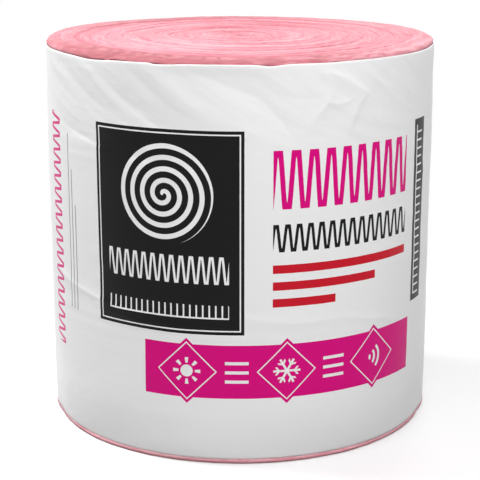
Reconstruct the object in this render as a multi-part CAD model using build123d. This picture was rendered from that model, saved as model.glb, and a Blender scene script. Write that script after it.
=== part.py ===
"""A roll of unfaced glass-fibre insulation blanket, standing on its end in a wrap of plastic film.

Two pieces: the blanket, wound into a roll whose turns show on both ends, and the film sleeve round
its side, whose outer end laps over its start. Millimetres, +Z up, the roll's axis on Z, the floor at
z = 0, the front of the roll towards -Y.
"""
from build123d import *
import math
import os

# Blanket, as it was cut and as it was wound
blanket_width = 381.0          # across the blanket, so the roll's height as it stands
blanket_length = 7620.0        # along the blanket, all of it in the turns
eye_radius = 15.0              # the first fold, wound so tight that no bore is left
# Film sleeve
roll_diameter = 386.0          # across the film
film_thickness = 0.4
film_clearance = 0.3           # between the film and the blanket
film_top_margin = 3.9          # bare blanket above the film
film_foot_margin = 3.6         # bare blanket below the film
foot_tuck = 6.0                # how far the film's lower edge is drawn in
foot_bend_radius = 18.0        # of the bend by which it is drawn in
lap_width = 90.0               # the film's outer end over its start
lap_angle = 125.0              # the middle of the lap, at the back, degrees round from +X
# Ends of the roll
shoulder_width = 24.0          # the top end falls away over its outermost turns
shoulder_drop = 2.5
rim_bevel = 2.5                # then turns down into the side
crown_flat = 3.0               # the top of each turn, between two creases
crown_crease_depth = 3.0
foot_flat = 7.0                # the foot of each turn, pressed flat on the floor
foot_crease_depth = 2.5
crease_overshoot = 0.25        # the creases are cut from this far outside the end

# Worked out from those
film_radius = roll_diameter / 2
film_top = blanket_width - film_top_margin
skin_depth = film_thickness + film_clearance
blanket_radius = film_radius - skin_depth
turn_pitch = math.pi * blanket_radius ** 2 / blanket_length
bend_angle = math.acos(1 - foot_tuck / foot_bend_radius)
bend_centre_radius = film_radius - foot_bend_radius
bend_centre_height = film_foot_margin + foot_bend_radius * math.sin(bend_angle)
bend_facets = 2                # each under half a millimetre off the round bend
lap_degrees = math.degrees(lap_width / film_radius)


def at(radius, height):
    """A point of a profile, which is drawn in the plane of X and Z."""
    return (radius, 0, height)


def side_line(outer_radius, top):
    """The roll's side at one depth of the skin, from its top down round the bend to the tucked foot."""
    bend_radius = outer_radius - bend_centre_radius
    points = [at(outer_radius, top)]
    for facet in range(bend_facets + 1):
        angle = bend_angle * facet / bend_facets
        across = bend_centre_radius + bend_radius * math.cos(angle)
        points.append(at(across, bend_centre_height - bend_radius * math.sin(angle)))
    return points


def blanket_envelope():
    """The wound blanket before its creases: falling shoulder, straight side and tucked foot."""
    shoulder = [
        at(0, blanket_width),
        at(blanket_radius - shoulder_width, blanket_width),
        at(blanket_radius - rim_bevel, blanket_width - shoulder_drop),
    ]
    side = side_line(blanket_radius, blanket_width - shoulder_drop - rim_bevel)
    foot_radius = side[-1][0]
    foot = [at(foot_radius, 0), at(0, 0)]
    return revolve(make_face(Polyline(*shoulder, *side, *foot, close=True)), Axis.Z)


def spiral_crease(end_height, inward, flat, depth):
    """The crease between the turns on one end: a notch led round in a spiral.

    inward is -1 on the top end and +1 on the foot. flat is what a turn keeps between its creases.
    Seen from above the spiral winds outwards anticlockwise. It is made of half circles: those behind
    the X axis turn about a centre a quarter pitch to the left, and those in front about one a quarter
    pitch to the right, with a radius half a pitch larger, so that each half runs on into the next.
    """
    start = end_height - inward * crease_overshoot
    bottom = end_height + inward * depth
    half_width = (turn_pitch - flat) / 2 * (1 + crease_overshoot / depth)
    quarter = turn_pitch / 4

    def half_turn(radius, centre, direction):
        across = centre + radius
        corners = [at(across - half_width, start), at(across, bottom), at(across + half_width, start)]
        notch = make_face(Polyline(*corners, close=True))
        return revolve(notch, Axis((centre, 0, 0), (0, 0, direction)), 180)

    halves = []
    radius = eye_radius
    while radius - turn_pitch < blanket_radius:
        halves.append(half_turn(radius, -quarter, 1))
        halves.append(half_turn(radius + 2 * quarter, quarter, -1))
        radius += turn_pitch
    return halves


def blanket():
    """The roll of glass fibre: one turned solid with the turns of its spiral cut into both ends."""
    turned = blanket_envelope()
    turned -= spiral_crease(blanket_width, -1, crown_flat, crown_crease_depth)
    return turned - spiral_crease(0, 1, foot_flat, foot_crease_depth)


def film_layer(outer_radius, arc):
    """One thickness of film that follows the roll's side through this arc, in degrees."""
    outer = side_line(outer_radius, film_top)
    inner = side_line(outer_radius - film_thickness, film_top)
    return revolve(make_face(Polyline(*outer, *reversed(inner), close=True)), Axis.Z, arc)


def film_sleeve():
    """The film once round the roll's side, and its outer end lapped over its start at the back."""
    lap = film_layer(film_radius + film_thickness, lap_degrees)
    return film_layer(film_radius, 360) + lap.rotate(Axis.Z, lap_angle - lap_degrees / 2)


os.makedirs("parts", exist_ok=True)
export_step(blanket(), "parts/blanket.step")
export_step(film_sleeve(), "parts/film_sleeve.step")
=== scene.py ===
"""A roll of unfaced glass-fibre insulation blanket standing on its end in a printed film sleeve.

The wound blanket and the film are modelled here as meshes that stand for the two solids. The print
is a plain generic one, drawn by the film's material in millimetres on the film's own map.
"""
import math
import bmesh
import bpy
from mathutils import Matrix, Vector, noise


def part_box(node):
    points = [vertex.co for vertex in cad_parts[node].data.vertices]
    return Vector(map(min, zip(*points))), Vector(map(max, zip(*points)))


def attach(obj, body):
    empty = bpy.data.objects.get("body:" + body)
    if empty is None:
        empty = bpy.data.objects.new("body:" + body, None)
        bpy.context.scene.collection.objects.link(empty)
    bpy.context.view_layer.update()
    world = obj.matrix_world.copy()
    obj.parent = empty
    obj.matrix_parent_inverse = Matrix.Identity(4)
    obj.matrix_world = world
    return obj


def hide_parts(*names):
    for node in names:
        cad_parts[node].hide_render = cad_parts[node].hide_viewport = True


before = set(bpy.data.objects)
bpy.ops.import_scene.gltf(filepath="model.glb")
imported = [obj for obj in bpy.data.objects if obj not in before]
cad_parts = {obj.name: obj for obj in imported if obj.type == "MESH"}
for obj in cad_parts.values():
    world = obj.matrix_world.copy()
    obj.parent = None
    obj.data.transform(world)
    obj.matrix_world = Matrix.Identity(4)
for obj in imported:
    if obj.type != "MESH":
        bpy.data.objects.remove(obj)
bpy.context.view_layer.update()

MM = 0.001
TURN = 2 * math.pi
blanket_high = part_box("blanket")[1]
sleeve_low, sleeve_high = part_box("film_sleeve")
roll_height = blanket_high[2]
blanket_radius = blanket_high[0]
film_radius = sleeve_high[0]
film_top = sleeve_high[2]
film_foot = sleeve_low[2]

# The blanket as it was wound, as in the part
BLANKET_LENGTH = 7.62
EYE_RADIUS = 15 * MM
turn_pitch = math.pi * blanket_radius ** 2 / BLANKET_LENGTH

# The film as it was wrapped, as in the part, though drawn in more gently at the foot
FOOT_TUCK = 4.0 * MM
FOOT_REACH = 48 * MM
LAP_WIDTH = 90 * MM
LAP_MIDDLE = math.radians(125)


# Colours and nodes

def ink(code):
    """An sRGB hex colour as the linear colour that a socket takes."""
    parts = [int(code[place:place + 2], 16) / 255 for place in (1, 3, 5)]
    linear = [part / 12.92 if part <= 0.04045 else ((part + 0.055) / 1.055) ** 2.4 for part in parts]
    return (*linear, 1.0)


def add(tree, kind, inputs=None, **settings):
    """Adds one node with its settings. Inputs go by number or name, and take a node, a socket or a value."""
    made = tree.nodes.new(kind)
    for name, value in settings.items():
        setattr(made, name, value)
    for key, value in (inputs or {}).items():
        if isinstance(value, bpy.types.Node):
            value = value.outputs[0]
        if isinstance(value, bpy.types.NodeSocket):
            tree.links.new(value, made.inputs[key])
        else:
            made.inputs[key].default_value = value
    return made


def new_material(name):
    """An empty material, its node tree and its Principled shader."""
    material = bpy.data.materials.new(name)
    material.use_nodes = True
    tree = material.node_tree
    tree.nodes.clear()
    shader = add(tree, "ShaderNodeBsdfPrincipled")
    add(tree, "ShaderNodeOutputMaterial", {"Surface": shader})
    return material, tree, shader


# Camera, floor, backdrop and lights

def place_camera():
    """The photograph's view: a long lens a metre and a half away, a little above the roll."""
    camera_data = bpy.data.cameras.new("camera")
    camera_data.sensor_fit = "HORIZONTAL"
    camera_data.sensor_width = 36
    camera_data.lens = 113.5
    camera = bpy.data.objects.new("camera", camera_data)
    camera.location = (0, -1516 * MM, 562 * MM)
    tilt_down = math.radians(14.55)
    camera.rotation_euler = (math.pi / 2 - tilt_down, 0, 0)
    bpy.context.collection.objects.link(camera)
    bpy.context.scene.camera = camera


def area_light(name, size, power, location, target):
    """A soft box that faces a point of the roll."""
    light_data = bpy.data.lights.new(name, "AREA")
    light_data.shape = "RECTANGLE"
    light_data.size, light_data.size_y = size
    light_data.energy = power
    light = bpy.data.objects.new(name, light_data)
    light.location = location
    light.rotation_euler = (Vector(target) - Vector(location)).to_track_quat("-Z", "Y").to_euler()
    bpy.context.collection.objects.link(light)


def seen_ray(tree):
    """1 for the rays that show the background: from the camera, in a reflection or through glass."""
    path = add(tree, "ShaderNodeLightPath")
    seen = path.outputs["Is Camera Ray"]
    for name in ("Is Glossy Ray", "Is Transmission Ray"):
        seen = add(tree, "ShaderNodeMath", {0: seen, 1: path.outputs[name]}, operation="MAXIMUM").outputs[0]
    return seen


def white_world(ambient):
    """A white surround, which lights the roll only a little."""
    world = bpy.data.worlds.new("white_surround")
    bpy.context.scene.world = world
    world.use_nodes = True
    tree = world.node_tree
    tree.nodes.clear()
    soft = add(tree, "ShaderNodeBackground", {"Color": ink("#FFFFFF"), "Strength": ambient})
    white = add(tree, "ShaderNodeBackground", {"Color": ink("#FFFFFF"), "Strength": 1.0})
    mixed = add(tree, "ShaderNodeMixShader", {0: seen_ray(tree), 1: soft, 2: white})
    add(tree, "ShaderNodeOutputWorld", {"Surface": mixed})


def white_floor(size, shadow_reach):
    """A pale floor that keeps the roll's shadow near it and is plain white further off."""
    bm = bmesh.new()
    bmesh.ops.create_grid(bm, x_segments=1, y_segments=1, size=size / 2)
    mesh = bpy.data.meshes.new("floor")
    bm.to_mesh(mesh)
    bm.free()
    floor = bpy.data.objects.new("floor", mesh)
    bpy.context.collection.objects.link(floor)
    material, tree, shader = new_material("pale_floor")
    # It is seen as white, and throws back as much light as a light grey floor
    shown = add(tree, "ShaderNodeMix", {
        0: seen_ray(tree), 6: ink("#A4A4A4"), 7: ink("#FAFAFA"),
    }, data_type="RGBA")
    tree.links.new(shown.outputs[2], shader.inputs["Base Color"])
    shader.inputs["Roughness"].default_value = 0.9
    shader.inputs["Specular IOR Level"].default_value = 0.1
    place = add(tree, "ShaderNodeTexCoord").outputs["Object"]
    reach = add(tree, "ShaderNodeVectorMath", {0: place}, operation="LENGTH").outputs["Value"]
    shadow_start = film_radius + 20 * MM
    fade = add(tree, "ShaderNodeMapRange", {
        "Value": reach, "From Min": shadow_start, "From Max": shadow_reach,
    }, interpolation_type="SMOOTHSTEP")
    far = add(tree, "ShaderNodeMath", {0: fade, 1: seen_ray(tree)}, operation="MULTIPLY")
    white = add(tree, "ShaderNodeEmission", {"Color": ink("#FFFFFF"), "Strength": 1.0})
    mixed = add(tree, "ShaderNodeMixShader", {0: far, 1: shader, 2: white})
    output = next(n for n in tree.nodes if n.bl_idname == "ShaderNodeOutputMaterial")
    tree.links.new(mixed.outputs[0], output.inputs["Surface"])
    mesh.materials.append(material)


# Shared mesh work

def spun_whole(outline, steps, sectors):
    """A bmesh of an outline of (radius, height) points, spun once round the roll's axis.

    One sector is spun and the others are copies of it, which is much quicker than one long spin.
    """
    bm = bmesh.new()
    points = [bm.verts.new((radius, 0, height)) for radius, height in outline]
    lines = [bm.edges.new(pair) for pair in zip(points, points[1:])]
    axis = {"cent": (0, 0, 0), "axis": (0, 0, 1)}
    sector = TURN / sectors
    bmesh.ops.spin(bm, geom=points + lines, angle=sector, steps=steps // sectors, use_merge=False, **axis)
    whole = bm.verts[:] + bm.edges[:] + bm.faces[:]
    bmesh.ops.spin(bm, geom=whole, angle=TURN - sector, steps=sectors - 1, use_duplicate=True, **axis)
    bmesh.ops.remove_doubles(bm, verts=bm.verts[:], dist=0.01 * MM)
    return bm


def finished(bm, name, material, node):
    """Makes the bmesh a smooth piece that rides on the root body and stands for its CAD node."""
    for face in bm.faces:
        face.smooth = True
    mesh = bpy.data.meshes.new(name)
    bm.to_mesh(mesh)
    bm.free()
    mesh.materials.append(material)
    piece = bpy.data.objects.new(name, mesh)
    bpy.context.collection.objects.link(piece)
    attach(piece, "root")
    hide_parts(node)
    return piece


def eased(value, low, high):
    """0 below low and 1 above high, with a smooth rise between."""
    share = min(max((value - low) / (high - low), 0.0), 1.0)
    return share * share * (3 - 2 * share)


def bell(away, width):
    """1 at nothing away, with a smooth fall on both sides to nearly 0 at twice the width."""
    return math.exp(-(away / width) ** 2)


def rough(x, y, z, size):
    """Noise from -1 to 1 whose lumps are about this size, in metres."""
    return noise.noise(Vector((x, y, z)) / size)


SPARED_SHARE = 0.8
SPARED_FROM = 0.955


def spared_tuck(sideways):
    """The share of the draw-in at the foot that the roll is spared, at its far left and right sides."""
    return SPARED_SHARE * eased(abs(sideways), SPARED_FROM, 1.0)


# The film's top edge, which the blanket swells out over

FRONT = math.radians(270)


def front_place(angle):
    """How far round the film a direction lies from the front, in millimetres, to the right as positive."""
    return film_radius / MM * ((angle - FRONT + math.pi) % TURN - math.pi)


def edge_waver(u, x, y):
    """How far the film's top edge rises or dips, in metres, with the nicks at the front."""
    waver = 0.5 * rough(x, y, 0.0, 60 * MM) + 0.3 * rough(x, y, 3.0, 16 * MM)
    dip = 1.5 * bell(u - 28, 11) + 2.0 * bell(u + 148, 26)
    step = 1.1 * eased(u, -84, -79) * (1 - eased(u, -72, -40))
    low_sides = (1.6 - 0.6 * x / film_radius) * (x / film_radius) ** 2
    return (waver - dip - step - low_sides) * MM


# The wound blanket

SHOULDER_START = 150 * MM
SHOULDER_FALL = 7 * MM
SHOULDER_SQUARENESS = 3.4
START_FOLD = 7 * MM
BLANKET_END = math.radians(231)  # where the blanket's outer end lies in the side
BAND_TURN = 9                    # from this turn outwards the wool is pressed into one rounded band
HIDDEN_SIDE = 188 * MM           # the blanket behind the film, which shows nowhere
RIM_RADIUS = 192.2 * MM
INSIDE_FILM = 191.2 * MM         # the rim keeps within this below the film's edge
FOOT_RADIUS = 190.1 * MM
FOOT_BEAD = 2.1 * MM             # the round of the foot's edge
FOOT_SIDE_PULL = 0.8 * MM        # how much further in that edge lies at the far left and right
CREASE_WIDTH = 1.1 * MM
TORN_WIDTH = 1.3 * MM
NOTCH_WIDTH = 2.8 * MM
LUMP_SIZE = 15 * MM


def shoulder_fall(radius):
    """How far the top end has fallen away at this radius, over the outermost turns."""
    share = min(max((radius - SHOULDER_START) / (RIM_RADIUS - SHOULDER_START), 0.0), 1.0)
    return SHOULDER_FALL * (1 - (1 - share ** SHOULDER_SQUARENESS) ** (1 / SHOULDER_SQUARENESS))


def blanket_outline():
    """From the eye on the top end, out over the rim, down the side and in to the middle of the foot.

    The rings lie close together on the top end and the rim, and far apart behind the film and below.
    """
    ring = 1.25 * MM
    outline = [(count * ring, roll_height) for count in range(int(SHOULDER_START / ring))]
    shoulder_rings = 32
    for count in range(shoulder_rings + 1):
        share = math.sin(math.pi / 2 * count / shoulder_rings)
        radius = SHOULDER_START + (RIM_RADIUS - SHOULDER_START) * share
        outline.append((radius, roll_height - shoulder_fall(radius)))
    rim_foot = roll_height - SHOULDER_FALL
    outline += [(RIM_RADIUS, rim_foot - drop * MM) for drop in (0.8, 1.6, 2.4, 3.4, 4.6)]
    outline += [(HIDDEN_SIDE, rim_foot - 9 * MM)]
    outline += [(HIDDEN_SIDE, roll_height * share / 6) for share in (5, 4, 3, 2, 1)]
    outline += [(HIDDEN_SIDE - 1 * MM, 14 * MM), (HIDDEN_SIDE - 2 * MM, 5 * MM)]
    bead_rings = 8
    bead_middle = FOOT_RADIUS - FOOT_BEAD
    for count in range(bead_rings + 1):
        angle = math.pi * (0.5 - count / bead_rings)
        outline.append((bead_middle + FOOT_BEAD * math.cos(angle), FOOT_BEAD + FOOT_BEAD * math.sin(angle)))
    foot_ring = 3.2 * MM
    foot_rings = int(bead_middle / foot_ring)
    outline += [(count * foot_ring, 0.0) for count in range(foot_rings, -1, -1)]
    return outline


def turn_place(x, y):
    """Which turn of the spiral a place is on, and its direction as a share of a turn from +X.

    The turns are counted from the eye, with how far across one the place is as the fraction. The
    blanket starts with a fold, so its turns are a little pointed to the left and to the right.
    """
    wander = 3.6 * MM * rough(x, y, 0.31, 85 * MM) + 1.2 * MM * rough(x, y, 0.77, 24 * MM)
    start = EYE_RADIUS - turn_pitch / 4
    angle = math.atan2(y, x) % TURN
    reach = math.hypot(x, math.hypot(y, 3 * MM) + START_FOLD) - START_FOLD
    return (reach + wander - start) / turn_pitch - angle / TURN, angle / TURN


def torn_layers(share, along):
    """The finer layers that a turn splits into: how deep in one of their gaps a place is, from 0 to 1."""
    deepest = 0.0
    for count in (1, 2, 3):
        middle = count / 4 + 0.11 * noise.noise(Vector((along * 3.1, count * 5.3, 1.0)))
        gap = max(0.0, 0.4 + 1.2 * noise.noise(Vector((along * 4.7, count * 7.9, 6.0))))
        deepest = max(deepest, gap * bell((share - middle) * turn_pitch, TORN_WIDTH))
    return min(deepest, 1.0)


def nearest_crease(place):
    """How far across its turn a place is, as a share, and how far it lies from the nearer crease."""
    share = place - math.floor(place)
    return share, min(share, 1 - share) * turn_pitch


def band_marks(x, y, radius, beyond, angle_share):
    """How deep a place of the pressed band is in a gap between lumps, and in the blanket's end notch."""
    lump_gap = bell(rough(x, y, 9.0, LUMP_SIZE), 0.17) * eased(beyond, 0.0, 0.5)
    lump_gap *= eased(-y, 20 * MM, 90 * MM)
    off_end = ((angle_share * TURN - BLANKET_END + math.pi) % TURN - math.pi) * radius
    notch = bell(off_end, NOTCH_WIDTH) * eased(beyond, 0.7, 1.1)
    return lump_gap, notch


def rim_shade(x, y, z, radius, beyond, facing, lump_gap):
    """How much painted shade a place round the rim takes, from 0 up, where the pressed wool turns down: most
    at the front and back and on the left, little on the right, and more in the gaps between lumps.
    """
    left_side, right_side = max(-x, 0) / RIM_RADIUS, max(x, 0) / RIM_RADIUS
    start = 0.15 - 1.1 * left_side
    shade = 0.85 * eased(beyond, start, start + 0.35) + 0.3 * eased(radius, 174 * MM, 191.5 * MM)
    shade *= (0.1 + 0.9 * facing) * (1 + 0.2 * left_side - 1.0 * right_side)
    shade *= 0.85 + 0.6 * lump_gap + 0.6 * rough(x, y, z, 13 * MM)
    return max(shade, 0.0)


def top_relief(x, y, z):
    """The top end at a place: how far the wool stands up, in metres, and three values for its colour.

    Those are the painted shade of its creases, the tone of its turn with painted light towards the front,
    and the painted shade round the rim.
    """
    radius = math.hypot(x, y)
    place, angle_share = turn_place(x, y)
    share, off = nearest_crease(place)
    turn = math.floor(place)
    along = turn + angle_share
    beyond = place - BAND_TURN
    pressed = eased(beyond, -0.06, 0.06)
    # The creases are cut deeper at the roll's front and back than at its left and right sides, where they
    # are nearly shut, and their painted shade spreads wider at the front and back
    facing = abs(y) / radius if radius > 0 else 0.0
    depth = 0.5 + 0.5 * facing + (0.4 + 0.4 * facing) * rough(x, y, 2.0, 45 * MM)
    depth = max(depth * (1 - 0.8 * pressed), 0.0)
    edge = depth * bell(off, CREASE_WIDTH)
    wide_crease_shade = depth * bell(off, CREASE_WIDTH + 1.9 * MM * facing ** 2)
    border = bell(beyond * turn_pitch, CREASE_WIDTH + 2.9 * MM * facing ** 2)
    crown = depth * (1 - 2 * off / turn_pitch) ** 4
    torn = torn_layers(share, along) * (1 - 0.7 * pressed)
    lump_gap, notch = 0.0, 0.0
    if pressed > 0:
        lump_gap, notch = band_marks(x, y, radius, beyond, angle_share)

    tuft = 0.3 * rough(x, y, z, 11 * MM) + 0.25 * rough(x, y, z, 4 * MM)
    lift = 0.9 * noise.noise(Vector((along * 1.7, 3.0, 0.5))) * (1 - pressed)
    lift += 0.9 * rough(x, y, 5.0, 90 * MM)
    swollen = 0.5 + 1.2 * (x / RIM_RADIUS) ** 2 - 1.0 * max(y, 0.0) / RIM_RADIUS
    swollen *= eased(beyond, 0.05, 0.7)
    sunk = 1.2 * edge + 1.3 * crown + 0.9 * torn + 0.5 * border + 1.5 * lump_gap + 3.0 * notch
    height = (tuft + lift + swollen - sunk) * MM

    # Painted shade: the creases, the gaps between torn layers and the band's border are darkened in colour
    # as well as sunk
    painted_crease_shade = 0.3 * edge + 0.75 * wide_crease_shade + (0.45 + 0.3 * facing) * torn + (0.55 + 0.45 * facing) * border
    # The tone of each turn at random, varying more at the front and back, and painted light that lifts the
    # turns towards the front
    tone = noise.noise(Vector((along * 2.3, 0.0, 4.2)))
    tone += 1.5 * facing * noise.noise(Vector((along * 4.1, share * 2.6, turn * 3.7)))
    tone *= (0.25 + 0.5 * facing) * (0.4 + 0.6 * eased(radius, 30 * MM, 100 * MM))
    tone += 0.5 + 0.3 * max(-y, 0) / RIM_RADIUS
    # Painted shade round the rim and in the blanket's end notch
    painted_rim_shade = rim_shade(x, y, z, radius, beyond, facing, lump_gap) + notch
    return height, min(painted_crease_shade, 1.0), tone, min(painted_rim_shade, 1.2)


def edge_push(x, y, z, height):
    """How far the wool is pushed out at a place of the rim or of the foot's edge, in metres."""
    radius = math.hypot(x, y)
    swell = 0.5 * rough(x, y, z, 40 * MM) + 0.35 * rough(x, y, z, 10 * MM) + 0.2 * rough(x, y, z, 4 * MM)
    push = swell * MM * eased(radius, 178 * MM, 187 * MM)
    if z < roll_height / 2:
        return push + spared_tuck(x / radius) * FOOT_TUCK - FOOT_SIDE_PULL * (x / radius) ** 4
    # Above the film's edge the wool swells out over it, and below the edge it stays inside
    edge_height = film_top + edge_waver(front_place(math.atan2(y, x)), x, y)
    outside = eased(height, edge_height - 0.2 * MM, edge_height + 1.2 * MM)
    return push * outside + (min(radius, INSIDE_FILM) - radius) * (1 - outside)


def wound_blanket(material):
    """The blanket's ends and rim: rounded turns between creases, lumpy as torn fibre is."""
    bm = spun_whole(blanket_outline(), steps=400, sectors=8)
    # Painted shade in the creases, for the colour
    painted_crease_shade_layer = bm.verts.layers.float.new("painted_crease_shade")
    # The tone of each turn, with painted light towards the front
    turn_tone_and_light_layer = bm.verts.layers.float.new("turn_tone_and_light")
    # Painted shade round the rim and at the foot's edge, for the colour
    painted_rim_shade_layer = bm.verts.layers.float.new("painted_rim_shade")
    for point in bm.verts:
        x, y, z = point.co
        radius = math.hypot(x, y)
        if z > film_top - 5 * MM:
            height, point[painted_crease_shade_layer], point[turn_tone_and_light_layer], point[painted_rim_shade_layer] = top_relief(x, y, z)
            point.co.z += height * eased(z, film_top - 3 * MM, film_top + 1 * MM)
        elif radius > 184 * MM:
            # Behind the film, and the foot's edge, which has painted shade where it turns under
            point[painted_rim_shade_layer] = 0.35 - 0.3 * eased(z, 1.2 * MM, 3 * MM)
            point[turn_tone_and_light_layer] = 0.75
        elif z < 0.05 * MM:
            # The foot, pressed flat on the floor between its creases, with painted shade in them
            groove = 1 - eased(nearest_crease(turn_place(x, y)[0])[1], 0.5 * MM, 4.3 * MM)
            point.co.z = 2.4 * MM * groove + 0.15 * MM * abs(rough(x, y, 1.0, 5 * MM))
            point[painted_crease_shade_layer] = groove
        if radius > 170 * MM and (z > roll_height / 2 or z < 6 * MM):
            push = edge_push(x, y, z, point.co.z)
            point.co.x += push * x / radius
            point.co.y += push * y / radius
    bmesh.ops.recalc_face_normals(bm, faces=bm.faces[:])
    piece = finished(bm, "wound_blanket", material, "blanket")
    return piece


# The film sleeve

film_length = TURN * film_radius + LAP_WIDTH
film_start = LAP_MIDDLE - LAP_WIDTH / film_radius / 2
# How the film's upper edge is rolled in: how far in and how far down its points lie, in millimetres
EDGE_ROLL = [(0.05, 1.3), (0.15, 0.8), (0.35, 0.35), (0.6, 0.05), (0.9, 0.0), (1.15, 0.4), (1.15, 3.5)]
LOWER_EDGE = 0.5 * MM            # how far the film's lower edge is folded in
ROLL_START = 3 * MM              # how far under its top the film starts to roll in


def drawn_in(height):
    """How far the film is drawn in towards the foot at this height."""
    return FOOT_TUCK * max(1 - (height - film_foot) / FOOT_REACH, 0.0) ** 1.8


def film_outline():
    """From the film's lower edge up the side, which is drawn in towards the foot, to its top edge.

    The lower edge is folded in by half a millimetre and the upper one by about a millimetre, more
    than the film's own thickness, so that its edges show. The rings lie closest where the folds do.
    """
    zones = [
        (film_foot, film_foot + FOOT_REACH, 16),
        (film_foot + FOOT_REACH, 122 * MM, 28),
        (122 * MM, 158 * MM, 24),
        (158 * MM, 272 * MM, 32),
        (272 * MM, film_top - ROLL_START, 82),
    ]
    heights = [low + (high - low) * count / rings for low, high, rings in zones for count in range(rings)]
    heights.append(film_top - ROLL_START)
    foot_radius = film_radius - FOOT_TUCK
    folded_in = foot_radius - LOWER_EDGE
    outline = [(folded_in, film_foot + 3 * MM), (folded_in, film_foot + 0.4 * LOWER_EDGE)]
    outline += [(film_radius - drawn_in(height), height) for height in heights]
    outline += [(film_radius - inwards * MM, film_top - below * MM) for inwards, below in EDGE_ROLL]
    return outline


# Folds of the film, in millimetres round from the front and up from the floor: the points that each
# runs through, how wide it is on its lower and on its upper side, how far it stands out or in, and
# how soft it is, from 1 for a crisp crease to 2 for a round one
FOLDS = [
    ([(-140, 362), (-113, 341), (-86, 325), (-62, 312), (-36, 302)], 7, 18, -1.9, 1.1),
    ([(-176, 378), (-142, 356), (-113, 334)], 14, 9, 0.9, 1.8),
    ([(-206, 370), (-175, 349), (-142, 334), (-108, 320)], 5, 11, -0.6, 1.2),
    ([(-92, 378), (-69, 356), (-45, 339), (-16, 323), (4, 314)], 11, 20, 1.5, 1.8),
    ([(-58, 376), (-27, 364), (0, 354), (14, 348), (26, 339), (38, 326), (48, 312)], 22, 15, -3.4, 1.0),
    ([(-243, 316), (-191, 306), (-150, 298), (-106, 290), (-66, 285), (-34, 284)], 2.4, 9, -0.85, 1.0),
    ([(74, 374), (82, 358), (84, 349), (80, 340), (69, 329), (62, 314)], 4, 5, 1.5, 1.0),
    ([(80, 370), (97, 363), (112, 354), (124, 347)], 8, 3, 1.7, 1.0),
    ([(124, 347), (114, 337), (108, 324), (104, 312)], 8, 3, 1.5, 1.0),
    ([(80, 341), (91, 339), (103, 341), (111, 346)], 3, 3, 0.8, 1.0),
    ([(104, 307), (123, 297), (140, 281)], 3, 6, -0.8, 1.0),
    ([(130, 328), (147, 313)], 3, 3, 0.7, 1.0),
    ([(116, 371), (142, 354), (168, 344)], 4, 4, 0.7, 1.0),
    ([(30, 351), (50, 347), (66, 345), (82, 347)], 3, 7, -0.5, 1.0),
    ([(172, 350), (196, 338), (226, 330)], 5, 4, 0.4, 1.3),
    ([(196, 270), (222, 259), (250, 252)], 5, 7, 0.8, 1.0),
    ([(167, 225), (200, 220), (246, 213)], 3, 5, 0.6, 1.0),
    ([(153, 182), (187, 179), (242, 171)], 3, 5, 0.5, 1.0),
    ([(-236, 366), (-214, 357), (-188, 350)], 3, 4, 0.4, 1.0),
    ([(-232, 352), (-199, 342), (-176, 332)], 3, 4, -0.45, 1.0),
    ([(-226, 334), (-196, 324), (-166, 314)], 3, 4, 0.4, 1.0),
    ([(-250, 170), (-222, 159), (-196, 153)], 4, 5, 0.7, 1.2),
    ([(-232, 160), (-198, 154), (-153, 148), (-117, 143), (-86, 139), (-61, 136), (-26, 136)],
     6, 3, 1.15, 1.0),
    ([(-152, 141), (-108, 135), (-76, 132), (-30, 130)], 4, 2.6, 0.7, 1.0),
    ([(-17, 150), (19, 141), (63, 137), (104, 139)], 6, 4, 0.7, 1.2),
    ([(106, 137), (136, 130), (170, 124)], 4, 3, 0.8, 1.0),
    ([(128, 99), (155, 95), (186, 92)], 2.5, 3, 0.4, 1.0),
    ([(118, 70), (156, 64), (196, 60)], 3, 3, 0.35, 1.0),
    ([(-180, 190), (-119, 188), (-82, 184)], 3, 5, 0.35, 1.0),
    ([(28, 26), (51, 32), (71, 32), (106, 32)], 3, 3, 0.35, 1.0),
    ([(-58, 10), (-60, 120), (-66, 268)], 26, 26, 1.0, 2.0),
]


def fold_reach(run, lower, upper):
    """The box on the film that a fold acts in: its left, right, foot and top."""
    reach = 3.5 * max(lower, upper)
    across, upright = [point[0] for point in run], [point[1] for point in run]
    return min(across) - reach, max(across) + reach, min(upright) - reach, max(upright) + reach


def nearest_on_run(run, u, v):
    """How far a point lies off a run of straight stretches, signed to its upper side, and how far in."""
    best, share_in = 1e9, 0.0
    stretches = len(run) - 1
    for count, (start, end) in enumerate(zip(run, run[1:])):
        du, dv = end[0] - start[0], end[1] - start[1]
        share = ((u - start[0]) * du + (v - start[1]) * dv) / (du * du + dv * dv)
        share = min(max(share, 0.0), 1.0)
        away = math.hypot(u - start[0] - share * du, v - start[1] - share * dv)
        if away < abs(best):
            upper = (v - start[1]) * du - (u - start[0]) * dv >= 0
            best = away if upper else -away
            share_in = (count + share) / stretches
    return best, share_in


FOLD_REACHES = [fold_reach(*fold[:3]) for fold in FOLDS]
RIPPLE_REPEAT = 606              # the slack ripples come twice round the roll, in millimetres


def fold_height(u, v):
    """How far the folds push the film out at a place on it, all in millimetres."""
    out = 0.0
    for (run, lower, upper, height, softness), (left, right, foot, top) in zip(FOLDS, FOLD_REACHES):
        if not (left < u < right and foot < v < top):
            continue
        away, share = nearest_on_run(run, u, v)
        width = upper if away > 0 else lower
        if abs(away) < 3.5 * width:
            ends = math.sin(math.pi * (0.08 + 0.84 * share)) ** 0.7
            out += height * ends * math.exp(-abs(away / width) ** softness)
    return out


def slack_ripples(u, v):
    """Ripples of the slack film under its top edge, in millimetres.

    They run down to the right and flatten out as they come down to where the film is tight.
    """
    reach = max(v - 282, 0) + 9
    half = RIPPLE_REPEAT / 2
    across = math.log(reach) + 0.0095 * ((u + half) % RIPPLE_REPEAT - half)
    along = (0.8 * u - v) / 80
    broad = noise.noise(Vector((4.4 * across, along, 3.0)))
    narrow = noise.noise(Vector((13 * across, 1.7 * along, 8.0)))
    slack = eased(v, 280, 300) * (1 - 0.6 * eased(-u, 120, 180))
    return slack * (0.006 * reach * broad + 0.002 * reach * narrow)


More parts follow.
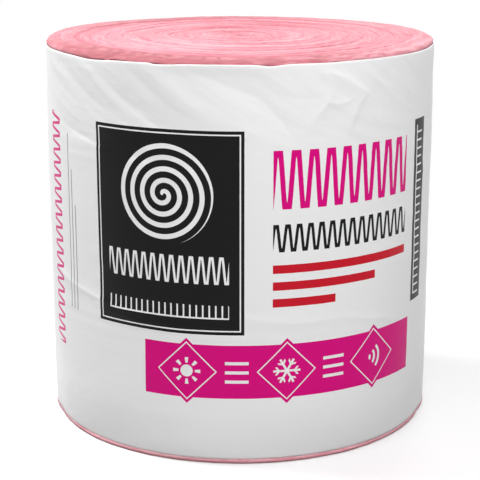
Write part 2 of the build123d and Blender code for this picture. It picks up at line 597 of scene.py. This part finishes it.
def film_relief(u, v, x, y, z):
    """The film's whole relief at a place, in metres: loose waves, slanting folds and tension creases."""
    half_round = TURN * film_radius / MM / 2
    folds = fold_height(u, v)
    # The back has the same folds the other way round, a little weaker
    behind = u - half_round if u > 0 else u + half_round
    folds += 0.8 * fold_height(-behind, v)
    waves = 0.8 * rough(x, y, z, 110 * MM) + 0.3 * rough(x, y, z, 38 * MM)
    pulled = noise.noise(Vector((x / 0.12, y / 0.12, v / 7.5)))
    tight = bell(v - 285, 26) + bell(v - 135, 20) + 0.5 * bell(v - 60, 40)
    fine = 0.10 * rough(x, y, z, 9 * MM)
    return (0.7 * folds + slack_ripples(u, v) + waves + 0.22 * tight * pulled + fine) * MM


def spread(share):
    """How far along the film a column lies, as a share of its length.

    More than half of the columns, from low to high, lie at the front, from 250 mm to the left of its
    middle to 200 mm to the right.
    """
    front_low, front_high = [
        (film_radius * (FRONT - film_start) + side * MM) / film_length for side in (-250, 200)
    ]
    low, high = 0.155, 0.705
    if share < low:
        return share / low * front_low
    if share < high:
        return front_low + (share - low) / (high - low) * (front_high - front_low)
    return front_high + (share - high) / (1 - high) * (1 - front_high)


def film_sleeve(material):
    """The film as one flat sheet, wrapped once round the roll and over its own start."""
    outline = film_outline()
    rows = len(outline) - 1
    columns = 400
    bm = bmesh.new()
    bmesh.ops.create_grid(bm, x_segments=columns, y_segments=rows, size=0.5)
    print_map = bm.loops.layers.uv.new("print")
    for point in bm.verts:
        radius, height = outline[round((point.co.y + 0.5) * rows)]
        along = film_length * spread(point.co.x + 0.5)
        free_end = eased(along, film_length - 20 * MM, film_length)
        along += free_end * 3 * MM * noise.noise(Vector((1.0, height / 0.11, 4.0)))
        turned = film_start + along / film_radius
        radius += spared_tuck(math.cos(turned)) * drawn_in(height)
        x, y = radius * math.cos(turned), radius * math.sin(turned)
        u = film_radius * (turned - FRONT) / MM
        v = height / MM
        # The lap lies over the film's start, and its free end stands a little off
        over = eased(turned, film_start + TURN - math.radians(7), film_start + TURN - math.radians(1))
        over += free_end ** 3 * (2.2 + 1.6 * noise.noise(Vector((7.0, height / 0.06, 2.0))))
        settled = 1 - 0.75 * eased(v, 366, 377) - 0.75 * (1 - eased(v, 4, 14))
        out = film_relief(u, v, x, y, height) * settled + 0.6 * MM * over
        rise = edge_waver(u, x, y) * eased(v, 360, 376)
        for loop in point.link_loops:
            loop[print_map].uv = (u, v)
        point.co = (x * (radius + out) / radius, y * (radius + out) / radius, height + rise)
    piece = finished(bm, "printed_film", material, "film_sleeve")
    return piece


# Materials

def glass_wool():
    """Pink glass wool, bonded and cut: dull, with long fibres in layers that run round the roll."""
    material, tree, shader = new_material("glass_wool")
    place = add(tree, "ShaderNodeTexCoord").outputs["Object"]
    split = add(tree, "ShaderNodeSeparateXYZ", {0: place})
    level = add(tree, "ShaderNodeCombineXYZ", {0: split.outputs[0], 1: split.outputs[1]})
    radius = add(tree, "ShaderNodeVectorMath", {0: level}, operation="LENGTH").outputs["Value"]
    # Layers of fibre follow the wind, so the pattern runs on the radius and the height, and is drawn out
    # along the turn. A fibre is a few thousandths of a millimetre thick, too fine to show, so what is
    # drawn is strands of about a millimetre, layers of about 4 and tufts of about 6.
    depth = add(tree, "ShaderNodeMath", {0: radius, 1: split.outputs[2]}, operation="ADD")
    way_round = add(tree, "ShaderNodeVectorMath", {0: level}, operation="NORMALIZE")
    way = add(tree, "ShaderNodeSeparateXYZ", {0: way_round})

    def layered(layer_mm, length_share):
        """The place in layers of this thickness. The larger the share, the shorter are their lengths."""
        across = add(tree, "ShaderNodeMath", {0: depth, 1: 1 / (layer_mm * MM)}, operation="MULTIPLY")
        along = [
            add(tree, "ShaderNodeMath", {0: way.outputs[axis], 1: length_share}, operation="MULTIPLY")
            for axis in (0, 1)
        ]
        return add(tree, "ShaderNodeCombineXYZ", {0: across, 1: along[0], 2: along[1]})

    layers = add(tree, "ShaderNodeTexNoise", {
        "Vector": layered(4.0, 5), "Scale": 1.0, "Detail": 3.0, "Roughness": 0.6,
    })
    fibres = add(tree, "ShaderNodeTexNoise", {
        "Vector": layered(1.1, 9), "Scale": 1.0, "Detail": 3.0, "Roughness": 0.65,
    })
    tufts = add(tree, "ShaderNodeTexNoise", {
        "Vector": place, "Scale": 1 / (6 * MM), "Detail": 5.0, "Roughness": 0.75,
    })
    tone = add(tree, "ShaderNodeMath", {0: layers, 1: fibres}, operation="ADD")
    tone = add(tree, "ShaderNodeMath", {0: tufts, 1: 0.5, 2: tone}, operation="MULTIPLY_ADD")
    # The tone of each turn, with painted light towards the front
    turn_tone_and_light = add(tree, "ShaderNodeAttribute", attribute_name="turn_tone_and_light").outputs["Fac"]
    tone = add(tree, "ShaderNodeMath", {0: turn_tone_and_light, 1: 0.8, 2: tone}, operation="MULTIPLY_ADD")
    tone = add(tree, "ShaderNodeMapRange", {"Value": tone, "From Min": 1.3, "From Max": 2.0})
    colour = add(tree, "ShaderNodeValToRGB", {0: tone})
    stops = colour.color_ramp.elements
    stops[0].position, stops[0].color = 0.0, ink("#CE7B86")
    stops[1].position, stops[1].color = 1.0, ink("#E8ADB6")
    stops.new(0.5).color = ink("#D9929C")
    # Painted shade: the creases are mixed towards a dark pink
    painted_crease_shade = add(tree, "ShaderNodeAttribute", attribute_name="painted_crease_shade").outputs["Fac"]
    shade = add(tree, "ShaderNodeMath", {0: painted_crease_shade, 1: 0.85}, operation="MULTIPLY")
    colour = add(tree, "ShaderNodeMix", {0: shade, 6: colour, 7: ink("#C05C6E")}, data_type="RGBA")
    # Painted shade round the rim and at the foot's edge, mixed towards a darker pink
    painted_rim_shade = add(tree, "ShaderNodeAttribute", attribute_name="painted_rim_shade").outputs["Fac"]
    colour = add(tree, "ShaderNodeMix", {0: painted_rim_shade, 6: colour.outputs[2], 7: ink("#B46A72")}, data_type="RGBA")
    tree.links.new(colour.outputs[2], shader.inputs["Base Color"])
    shader.inputs["Roughness"].default_value = 0.95
    shader.inputs["Specular IOR Level"].default_value = 0.2
    shader.inputs["Sheen Weight"].default_value = 0.1
    relief = add(tree, "ShaderNodeMath", {0: layers, 1: fibres}, operation="ADD")
    relief = add(tree, "ShaderNodeMath", {0: relief, 1: tufts}, operation="ADD")
    bump = add(tree, "ShaderNodeBump", {"Strength": 0.9, "Distance": 1.0 * MM, "Height": relief})
    tree.links.new(bump.outputs[0], shader.inputs["Normal"])
    return material


# The print on the film, in millimetres round from the front and up from the floor. It is plain and
# generic, and it comes twice round the roll. A box is its left, right, foot and top.
REPEAT = math.pi * film_radius / MM
FILM_WHITE, BLACK_INK = "#F2F2F2", "#100E0F"
MAGENTA_INK, RED_INK, GREY_INK = "#DA007E", "#CA162A", "#8C8B8C"
PANEL = (-146, 4, 128, 318)
PANEL_MARGIN = 14                # from the panel's sides to the rows of marks on it
PANEL_LINE = 1.3
COIL = (-71, 258)
COIL_RADIUS = 47
COIL_PITCH = 10.5
RIGHT_COLUMN = (30, 184)         # the left and right of the waves and bars beside the panel
SIDE_SCALE = (201, 225, 132, 312)
BAND = (-92, 196, 66, 118)
BAND_MIDDLE = 92
TILE_RADIUS = 32
TILE_FRAME = (28.5, 27)          # the outside and inside of the line on a tile
TILE_MARK = 13
GAPS = (-3, 91)                  # the middles of the two gaps between the three tiles


def inside(tree, u, v, box):
    """1 inside a rectangle of the print."""
    left, right, foot, top = box
    across = {0: u, 1: (left + right) / 2, 2: (right - left) / 2}
    upright = {0: v, 1: (foot + top) / 2, 2: (top - foot) / 2}
    across = add(tree, "ShaderNodeMath", across, operation="COMPARE")
    upright = add(tree, "ShaderNodeMath", upright, operation="COMPARE")
    return add(tree, "ShaderNodeMath", {0: across, 1: upright}, operation="MULTIPLY")


def any_of(tree, marks):
    """1 where any of the marks is."""
    whole = marks[0]
    for mark in marks[1:]:
        whole = add(tree, "ShaderNodeMath", {0: whole, 1: mark}, operation="MAXIMUM")
    return whole


def both(tree, mark, other):
    """1 where both marks are."""
    return add(tree, "ShaderNodeMath", {0: mark, 1: other}, operation="MULTIPLY")


def without(tree, mark, taken):
    """The mark with another taken out of it."""
    return add(tree, "ShaderNodeMath", {0: mark, 1: taken}, operation="SUBTRACT", use_clamp=True)


def frame_line(tree, u, v, box, line):
    """The outline of a rectangle, drawn inwards."""
    left, right, foot, top = box
    hollow = (left + line, right - line, foot + line, top - line)
    return without(tree, inside(tree, u, v, box), inside(tree, u, v, hollow))


def polar(tree, u, v, centre):
    """The distance and direction of a place from a centre."""
    du = add(tree, "ShaderNodeMath", {0: u, 1: centre[0]}, operation="SUBTRACT")
    dv = add(tree, "ShaderNodeMath", {0: v, 1: centre[1]}, operation="SUBTRACT")
    off = add(tree, "ShaderNodeCombineXYZ", {0: du, 1: dv})
    away = add(tree, "ShaderNodeVectorMath", {0: off}, operation="LENGTH").outputs["Value"]
    way = add(tree, "ShaderNodeMath", {0: dv, 1: du}, operation="ARCTAN2")
    return away, way


def disc(tree, away, radius):
    """1 within this radius."""
    return add(tree, "ShaderNodeMath", {0: away, 1: 0.0, 2: radius}, operation="COMPARE")


def coil_mark(tree, u, v, centre, radius, pitch, line):
    """The end of a roll: a spiral line out to this radius."""
    away, way = polar(tree, u, v, centre)
    turns = add(tree, "ShaderNodeMath", {0: away, 1: pitch}, operation="DIVIDE")
    phase = add(tree, "ShaderNodeMath", {0: way, 1: 1 / TURN, 2: turns}, operation="MULTIPLY_ADD")
    phase = add(tree, "ShaderNodeMath", {0: phase}, operation="FRACT")
    spiral = add(tree, "ShaderNodeMath", {0: phase, 1: 0.5, 2: line / pitch / 2}, operation="COMPARE")
    return both(tree, spiral, disc(tree, away, radius))


def loop_row(tree, u, v, box, pitch, line):
    """The draughtsman's mark for insulation: a row of tall even waves in a rectangle."""
    left, right, foot, top = box
    height = (top - foot - line) / 2
    turn = add(tree, "ShaderNodeMath", {0: u, 1: -left}, operation="ADD")
    turn = add(tree, "ShaderNodeMath", {0: turn, 1: TURN / pitch}, operation="MULTIPLY")
    wave = add(tree, "ShaderNodeMath", {0: turn}, operation="SINE")
    run = add(tree, "ShaderNodeMath", {0: wave, 1: height, 2: (foot + top) / 2}, operation="MULTIPLY_ADD")
    off = add(tree, "ShaderNodeMath", {0: v, 1: run}, operation="SUBTRACT")
    slope = add(tree, "ShaderNodeMath", {0: turn}, operation="COSINE")
    slope = add(tree, "ShaderNodeMath", {0: slope, 1: height * TURN / pitch}, operation="MULTIPLY")
    steep = add(tree, "ShaderNodeMath", {0: slope, 1: slope, 2: 1.0}, operation="MULTIPLY_ADD")
    steep = add(tree, "ShaderNodeMath", {0: steep}, operation="SQRT")
    away = add(tree, "ShaderNodeMath", {0: off, 1: steep}, operation="DIVIDE")
    wave = add(tree, "ShaderNodeMath", {0: away, 1: 0.0, 2: line / 2}, operation="COMPARE")
    return both(tree, wave, inside(tree, u, v, box))


def ruler(tree, u, v, box, spacing, line):
    """A measuring scale: a base line with even ticks up to the top of its rectangle."""
    left, right, foot, top = box
    step = add(tree, "ShaderNodeMath", {0: u, 1: -left - line / 2}, operation="ADD")
    step = add(tree, "ShaderNodeMath", {0: step, 1: 1 / spacing}, operation="MULTIPLY")
    step = add(tree, "ShaderNodeMath", {0: step, 1: 0.5}, operation="ADD")
    step = add(tree, "ShaderNodeMath", {0: step}, operation="FRACT")
    tick = add(tree, "ShaderNodeMath", {0: step, 1: 0.5, 2: line / spacing / 2}, operation="COMPARE")
    tick = both(tree, tick, inside(tree, u, v, box))
    return any_of(tree, [tick, inside(tree, u, v, (left, right, foot, foot + line))])


def sun_mark(tree, u, v, centre, size):
    """Warmth: a disc with eight rays."""
    away, way = polar(tree, u, v, centre)
    rays = add(tree, "ShaderNodeMath", {0: way, 1: 8 / TURN, 2: 0.5}, operation="MULTIPLY_ADD")
    rays = add(tree, "ShaderNodeMath", {0: rays}, operation="FRACT")
    rays = add(tree, "ShaderNodeMath", {0: rays, 1: 0.5, 2: 0.17}, operation="COMPARE")
    ring = add(tree, "ShaderNodeMath", {0: away, 1: 0.8 * size, 2: 0.2 * size}, operation="COMPARE")
    return any_of(tree, [both(tree, rays, ring), disc(tree, away, 0.45 * size)])


def frost_mark(tree, u, v, centre, size):
    """Cold: six arms with a chevron on each."""
    away, way = polar(tree, u, v, centre)
    way = add(tree, "ShaderNodeMath", {0: way, 1: math.pi / 6, 2: -math.pi / 6}, operation="WRAP")
    beside = add(tree, "ShaderNodeMath", {0: way}, operation="SINE")
    beside = add(tree, "ShaderNodeMath", {0: beside, 1: away}, operation="MULTIPLY")
    beside = add(tree, "ShaderNodeMath", {0: beside}, operation="ABSOLUTE")
    arm = add(tree, "ShaderNodeMath", {0: beside, 1: 0.0, 2: 0.08 * size}, operation="COMPARE")
    splay = add(tree, "ShaderNodeMath", {0: away, 1: beside}, operation="SUBTRACT")
    barb = add(tree, "ShaderNodeMath", {0: splay, 1: 0.55 * size, 2: 0.08 * size}, operation="COMPARE")
    short = add(tree, "ShaderNodeMath", {0: beside, 1: 0.0, 2: 0.3 * size}, operation="COMPARE")
    return both(tree, any_of(tree, [arm, both(tree, barb, short)]), disc(tree, away, size))


def sound_mark(tree, u, v, centre, size):
    """Quiet: three arcs that spread to the right from a point."""
    away, way = polar(tree, u, v, centre)
    rings = add(tree, "ShaderNodeMath", {0: away, 1: 2.2 / size}, operation="MULTIPLY")
    rings = add(tree, "ShaderNodeMath", {0: rings}, operation="FRACT")
    rings = add(tree, "ShaderNodeMath", {0: rings, 1: 0.5, 2: 0.22}, operation="COMPARE")
    fan = add(tree, "ShaderNodeMath", {0: way, 1: 0.0, 2: 0.75}, operation="COMPARE")
    return both(tree, both(tree, rings, fan), disc(tree, away, 1.3 * size))


def tile(tree, u, v, centre, radius):
    """A square that stands on its corner."""
    du = add(tree, "ShaderNodeMath", {0: u, 1: centre[0]}, operation="SUBTRACT")
    dv = add(tree, "ShaderNodeMath", {0: v, 1: centre[1]}, operation="SUBTRACT")
    du = add(tree, "ShaderNodeMath", {0: du}, operation="ABSOLUTE")
    dv = add(tree, "ShaderNodeMath", {0: dv}, operation="ABSOLUTE")
    reach = add(tree, "ShaderNodeMath", {0: du, 1: dv}, operation="ADD")
    return add(tree, "ShaderNodeMath", {0: reach, 1: 0.0, 2: radius}, operation="COMPARE")


def printed_colour(tree, u, v):
    """The print's colours at a place on the film, over the film's own white."""
    left, right, foot, top = PANEL
    row_left, row_right = left + PANEL_MARGIN, right - PANEL_MARGIN
    shown = [
        frame_line(tree, u, v, (left + 3, right - 3, foot + 3, top - 3), PANEL_LINE),
        coil_mark(tree, u, v, COIL, COIL_RADIUS, COIL_PITCH, 4.6),
        loop_row(tree, u, v, (row_left, row_right, 176, 202), 9.4, 2.6),
        ruler(tree, u, v, (row_left, row_right, 143, 156), 6.06, 1.5),
    ]
    left, right = RIGHT_COLUMN
    black = [
        without(tree, inside(tree, u, v, PANEL), any_of(tree, shown)),
        loop_row(tree, u, v, (left, right, 206, 232), 11, 3.6),
        inside(tree, u, v, SIDE_SCALE),
    ]
    # With u and v swapped, a row of ticks or waves stands upright
    side_ticks = ruler(tree, v, u, (138, 306, 206, 219), 8, 1.8)
    black = without(tree, any_of(tree, black), side_ticks)

    tiles, cut_out = [], []
    for middle, mark, mark_middle in ((-50, sun_mark, -50), (44, frost_mark, 44), (138, sound_mark, 131)):
        centre = (middle, BAND_MIDDLE)
        tiles.append(tile(tree, u, v, centre, TILE_RADIUS))
        cut_out.append(mark(tree, u, v, (mark_middle, BAND_MIDDLE), TILE_MARK))
        outer, inner = [tile(tree, u, v, centre, radius) for radius in TILE_FRAME]
        cut_out.append(without(tree, outer, inner))
    cut_out += [
        inside(tree, u, v, (middle - 11, middle + 11, foot, foot + 3))
        for middle in GAPS for foot in (81, 90, 99)
    ]
    band = any_of(tree, [inside(tree, u, v, BAND), *tiles])
    magenta = [
        without(tree, band, any_of(tree, cut_out)),
        loop_row(tree, u, v, (left, right, 246, 300), 17, 6.4),
        loop_row(tree, v, u, (84, 316, -238, -214), 13, 3.4),
    ]
    red, grey = [], []
    for count in range(3):
        bar_foot, line_left = 186 - 16 * count, -196 + 6 * count
        red.append(inside(tree, u, v, (left, right - 46 * count, bar_foot, bar_foot + 8)))
        grey.append(inside(tree, u, v, (line_left, line_left + 1.4, 128, 300 - 34 * count)))
    colour = ink(FILM_WHITE)
    for marks, code in ((magenta, MAGENTA_INK), (red, RED_INK), (grey, GREY_INK), ([black], BLACK_INK)):
        inked = {0: any_of(tree, marks), 6: colour, 7: ink(code)}
        colour = add(tree, "ShaderNodeMix", inked, data_type="RGBA").outputs[2]
    return colour


def wrap_film():
    """White polyethylene film, blown and printed: semi-gloss, with fine slack creases."""
    material, tree, shader = new_material("polyethylene_film")
    place = add(tree, "ShaderNodeUVMap", uv_map="print")
    split = add(tree, "ShaderNodeSeparateXYZ", {0: place})
    half = REPEAT / 2
    u = add(tree, "ShaderNodeMath", {0: split.outputs[0], 1: half, 2: -half}, operation="WRAP")
    tree.links.new(printed_colour(tree, u.outputs[0], split.outputs[1]), shader.inputs["Base Color"])
    shader.inputs["IOR"].default_value = 1.51
    shader.inputs["Specular IOR Level"].default_value = 0.14
    # Fine creases, about 6 mm across and 42 mm long, drawn out sideways by the pull of the wrap, and a
    # crumple of 30 by 13 mm
    drawn = add(tree, "ShaderNodeMapping", {"Vector": place, "Scale": (1 / 42, 1 / 6, 1)})
    creases = add(tree, "ShaderNodeTexNoise", {
        "Vector": drawn, "Scale": 1.0, "Detail": 3.0, "Roughness": 0.55,
    })
    crumple = add(tree, "ShaderNodeTexVoronoi", {
        "Vector": add(tree, "ShaderNodeMapping", {"Vector": place, "Scale": (1 / 30, 1 / 13, 1)}),
        "Scale": 1.0, "Randomness": 1.0,
    }, feature="DISTANCE_TO_EDGE")
    crumple = add(tree, "ShaderNodeMapRange", {
        "Value": crumple, "From Max": 0.12,
    }, interpolation_type="SMOOTHSTEP")
    height = add(tree, "ShaderNodeMath", {0: crumple, 1: 0.12, 2: creases}, operation="MULTIPLY_ADD")
    bump = add(tree, "ShaderNodeBump", {"Strength": 0.5, "Distance": 0.3 * MM, "Height": height})
    tree.links.new(bump.outputs[0], shader.inputs["Normal"])
    gloss = add(tree, "ShaderNodeMapRange", {"Value": creases, "To Min": 0.26, "To Max": 0.42})
    tree.links.new(gloss.outputs[0], shader.inputs["Roughness"])
    return material


# The soft boxes, each with its size and place in metres, its power in watts and the point it faces
LIGHTS = [
    ("front", (0.7, 0.7), 19, (0.28, -1.4, 1.47), (0, 0, 0.25)),
    ("left", (0.7, 0.9), 23.5, (-1.0, 0.3, 1.45), (0, 0, 0.3)),
    ("right", (0.6, 0.6), 2.3, (0.95, -0.1, 1.3), (0, 0, 0.3)),
    ("overhead", (2.2, 2.2), 6.8, (0.05, -0.5, 1.5), (0, 0, 0)),
    ("behind", (0.9, 0.7), 11, (0.6, 1.7, 0.9), (0, 0, 0.2)),
]

bpy.context.scene.view_settings.view_transform = "Standard"
place_camera()
white_world(ambient=0.27)
white_floor(size=8.0, shadow_reach=0.6)
for light in LIGHTS:
    area_light(*light)
wound_blanket(glass_wool())
film_sleeve(wrap_film())
